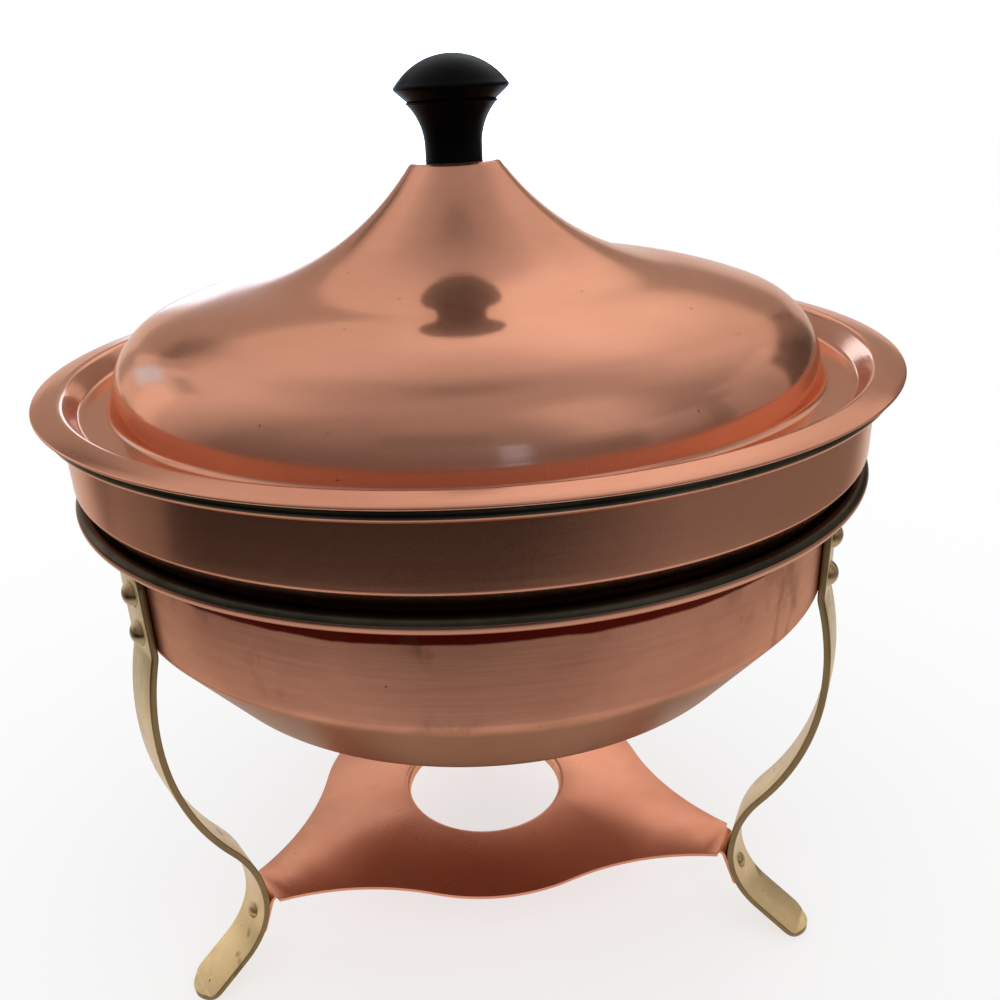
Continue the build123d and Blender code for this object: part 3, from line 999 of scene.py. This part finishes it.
def make_camera():
    """The photograph's camera, round a dish that stands turned by a few degrees."""
    data = bpy.data.cameras.new("camera")
    data.sensor_width = SENSOR
    data.lens = LENS
    data.shift_x, data.shift_y = SHIFT
    camera = bpy.data.objects.new("camera", data)
    bpy.context.scene.collection.objects.link(camera)
    forward = CAMERA_FORWARD.normalized()
    level = forward.cross(UP).normalized()
    above = level.cross(forward)
    right = level * cos(CAMERA_ROLL) + above * sin(CAMERA_ROLL)
    top = above * cos(CAMERA_ROLL) - level * sin(CAMERA_ROLL)
    pose = Matrix((right, top, -forward)).transposed().to_4x4()
    pose.translation = CAMERA_POSITION * MM
    camera.matrix_world = Matrix.Rotation(-DISH_TURN, 4, "Z") @ pose
    bpy.context.scene.camera = camera


# The room: the photograph's back and right, its light side and a lit doorway on the left
BACK = Vector((sin(DISH_TURN), cos(DISH_TURN), 0))
SIDE = Vector((cos(DISH_TURN), -sin(DISH_TURN), 0))
LIT_SIDE = Vector((cos(radians(100)), sin(radians(100)), 0))
# The lit doorway is only a pool of light painted on the floor, towards this direction
DOORWAY = Vector((cos(radians(175)), sin(radians(175)), 0))
DOORWAY_HALF = radians(12)
DOORWAY_EDGE = 0.04
DOORWAY_START = (0.46, 0.52)
DOORWAY_PAINTED_LIGHT = 0.25
ROOM_LEVEL = 0.95

# The floor, with painted shade. It dims over these distances in metres: all round, beside and in front
# of the dish.
# Its white part widens to the back by a slope on the left and on the right. It loses these shares
# of its light between two places along a diagonal, the nearer one first.
FLOOR_REACH = 4
FLOOR_GREY = 0.4
FLOOR_FAR = (0.26, 0.55)
FLOOR_BESIDE = (0.22, 0.42)
FLOOR_BEFORE = (-0.15, -0.55)
FLOOR_SLOPES = (1.0, 0.6)
FLOOR_DIAGONAL = (-0.5, -0.1)
FLOOR_LOSSES = (0.96, 0.66)

# The room's light, from one height of a direction to another: in front, and on the light side
FRONT_HEIGHTS, FRONT_LIGHT = (0, 1), (0.2, 0.6)
BACK_HEIGHTS, BACK_LIGHT = (0.75, 0.95), (1, 0.58)
# How far a direction turns to the light side before it is lit, with its height counted by half
LIT_RANGE = (0.1, 0.62)
LIT_RISE = 0.5

# Soft rectangles of the room: azimuth and elevation in degrees, half width, half height and edge
# as tangents of angles, and how much lighter or darker they are
GREY_PATCHES = (
    (104, 19, 0.33, 0.17, 0.03, -0.55),
    (66, 13.5, 0.27, 0.11, 0.03, -0.7),
    (136, 17, 0.09, 0.12, 0.03, -0.7),
    (122, 27, 0.16, 0.1, 0.04, -0.4),
    (148, 30, 0.12, 0.05, 0.03, -0.45),
    (150, 8, 0.12, 0.26, 0.05, 0.4),
    (124, 3, 0.08, 0.12, 0.04, -0.6),
    (36, 3, 0.28, 0.3, 0.05, -0.85),
    (10, 12, 0.35, 0.3, 0.06, 0.3),
    (312, 38, 0.24, 0.4, 0.2, 0.45),
    (74, 36, 0.22, 0.22, 0.1, 0.4),
    (330, 12, 0.2, 0.16, 0.06, 0.22),
    (352, 22, 0.06, 0.06, 0.04, -0.2),
    (90, 86, 0.16, 0.16, 0.12, -0.24),
    (255, 30, 0.28, 0.13, 0.06, -0.11),
)
SKY_PATCHES = (
    (94, 1, 0.2, 0.14, 0.04, 2.6),
    (136, 17, 0.09, 0.12, 0.03, 1.4),
    (279, 13, 0.07, 0.13, 0.03, 0.6),
)
SKY_TINT = (0.5, 1, 1.6)
DARKEST = 0.04


def make_floor():
    """A pale floor, white under and behind the dish, with painted shade that dims it beside and in front
    of the dish, and a pool of light painted towards the doorway.
    """
    mesh = bpy.data.meshes.new("floor")
    bm = bmesh.new()
    bmesh.ops.create_grid(bm, x_segments=1, y_segments=1, size=FLOOR_REACH)
    bm.to_mesh(mesh)
    bm.free()
    floor = bpy.data.objects.new("floor", mesh)
    bpy.context.scene.collection.objects.link(floor)
    grey = (FLOOR_GREY, FLOOR_GREY, FLOOR_GREY)
    shader = Shader("floor", grey, 0.0, 1.0, Specular_IOR_Level=0.0)
    back = shader.dot(shader.position, BACK)
    side = shader.dot(shader.position, SIDE)
    reach = shader.length(shader.position)
    # Painted shade: the floor is dimmed all round, beside and in front of the dish, and along a diagonal
    far = shader.spread(reach, *FLOOR_FAR, smooth=True)
    slope = shader.spread(side, -0.1, 0.1, *FLOOR_SLOPES)
    aside = shader.math("SUBTRACT", shader.math("ABSOLUTE", side), shader.math("MULTIPLY", back, slope))
    beside = shader.math("MULTIPLY", far, shader.spread(aside, *FLOOR_BESIDE, smooth=True))
    before = shader.spread(back, *FLOOR_BEFORE, smooth=True)
    diagonal = shader.math("ADD", back, shader.math("MULTIPLY", side, 0.6))
    missing = shader.spread(diagonal, *FLOOR_DIAGONAL, *FLOOR_LOSSES)
    dim = shader.math("MULTIPLY", shader.math("MAXIMUM", before, beside), missing)
    heading = shader.node("ShaderNodeVectorMath", operation="NORMALIZE")
    shader.join(shader.position, heading.inputs[0])
    # A painted pool of light on the floor towards the doorway
    distant = shader.spread(reach, *DOORWAY_START)
    turned = shader.math("ARCCOSINE", shader.dot(heading.outputs["Vector"], DOORWAY))
    edges = (DOORWAY_HALF + DOORWAY_EDGE, DOORWAY_HALF - DOORWAY_EDGE)
    doorway = shader.spread(turned, *edges, 0, DOORWAY_PAINTED_LIGHT, smooth=True)
    doorway = shader.math("MULTIPLY", doorway, distant)
    bright = shader.math("ADD", shader.math("SUBTRACT", 1, dim), doorway, clamp=True)
    shader.set("Base Color", shader.mix(bright, (0, 0, 0), grey))
    shader.surface.inputs["Emission Color"].default_value = (1, 1, 1, 1)
    glow = shader.math("MULTIPLY", bright, 1 - FLOOR_GREY * ROOM_LEVEL)
    shader.set("Emission Strength", shader.math("MULTIPLY", glow, shader.seen_rays()))
    mesh.materials.append(shader.material)


def patch(room, direction, azimuth, elevation, half_width, half_height, edge):
    """1 inside a soft-edged rectangle of the room, seen from the dish, and 0 outside it."""
    azimuth, elevation = radians(azimuth), radians(elevation)
    ahead = Vector((cos(elevation) * cos(azimuth), cos(elevation) * sin(azimuth), sin(elevation)))
    right = ahead.cross(UP).normalized()
    above = right.cross(ahead)
    depth = room.math("MAXIMUM", room.dot(direction, ahead), 0.01)
    inside = []
    for axis, half in ((right, half_width), (above, half_height)):
        away = room.math("ABSOLUTE", room.math("DIVIDE", room.dot(direction, axis), depth))
        inside.append(room.spread(away, half + edge, half - edge, smooth=True))
    return room.math("MULTIPLY", *inside)


def make_world():
    """A plain room: white behind the dish and dimmer on the camera's side, with soft patches."""
    world = bpy.data.worlds.new("room")
    bpy.context.scene.world = world
    world.use_nodes = True
    room = Nodes(world.node_tree)
    direction = room.node("ShaderNodeTexCoord").outputs["Generated"]
    up = room.dot(direction, UP)
    front_light = room.spread(up, *FRONT_HEIGHTS, *FRONT_LIGHT)
    back_light = room.spread(up, *BACK_HEIGHTS, *BACK_LIGHT)
    lit = room.math("ADD", room.dot(direction, LIT_SIDE), room.math("MULTIPLY", up, LIT_RISE))
    lit = room.spread(lit, *LIT_RANGE)
    more = room.math("MULTIPLY", lit, room.math("SUBTRACT", back_light, front_light))
    light = room.math("ADD", front_light, more)
    for *place, strength in GREY_PATCHES:
        light = room.math("ADD", light, room.math("MULTIPLY", patch(room, direction, *place), strength))
    light = room.math("MAXIMUM", light, DARKEST)
    sky = 0.0
    for *place, strength in SKY_PATCHES:
        sky = room.math("ADD", sky, room.math("MULTIPLY", patch(room, direction, *place), strength))
    seen = room.seen_rays()
    plain = room.math("MULTIPLY", room.math("SUBTRACT", 1, seen), ROOM_LEVEL)
    grey = room.math("ADD", room.math("MULTIPLY", light, seen), plain)
    sky = room.math("MULTIPLY", sky, seen)
    colour = room.node("ShaderNodeCombineXYZ")
    for socket, share in zip(colour.inputs, SKY_TINT):
        room.join(room.math("ADD", grey, room.math("MULTIPLY", sky, share)), socket)
    background = room.nodes["Background"]
    room.join(colour.outputs[0], background.inputs["Color"])
    background.inputs["Strength"].default_value = 1


make_camera()
make_floor()
make_world()
bpy.context.scene.view_settings.view_transform = "Standard"
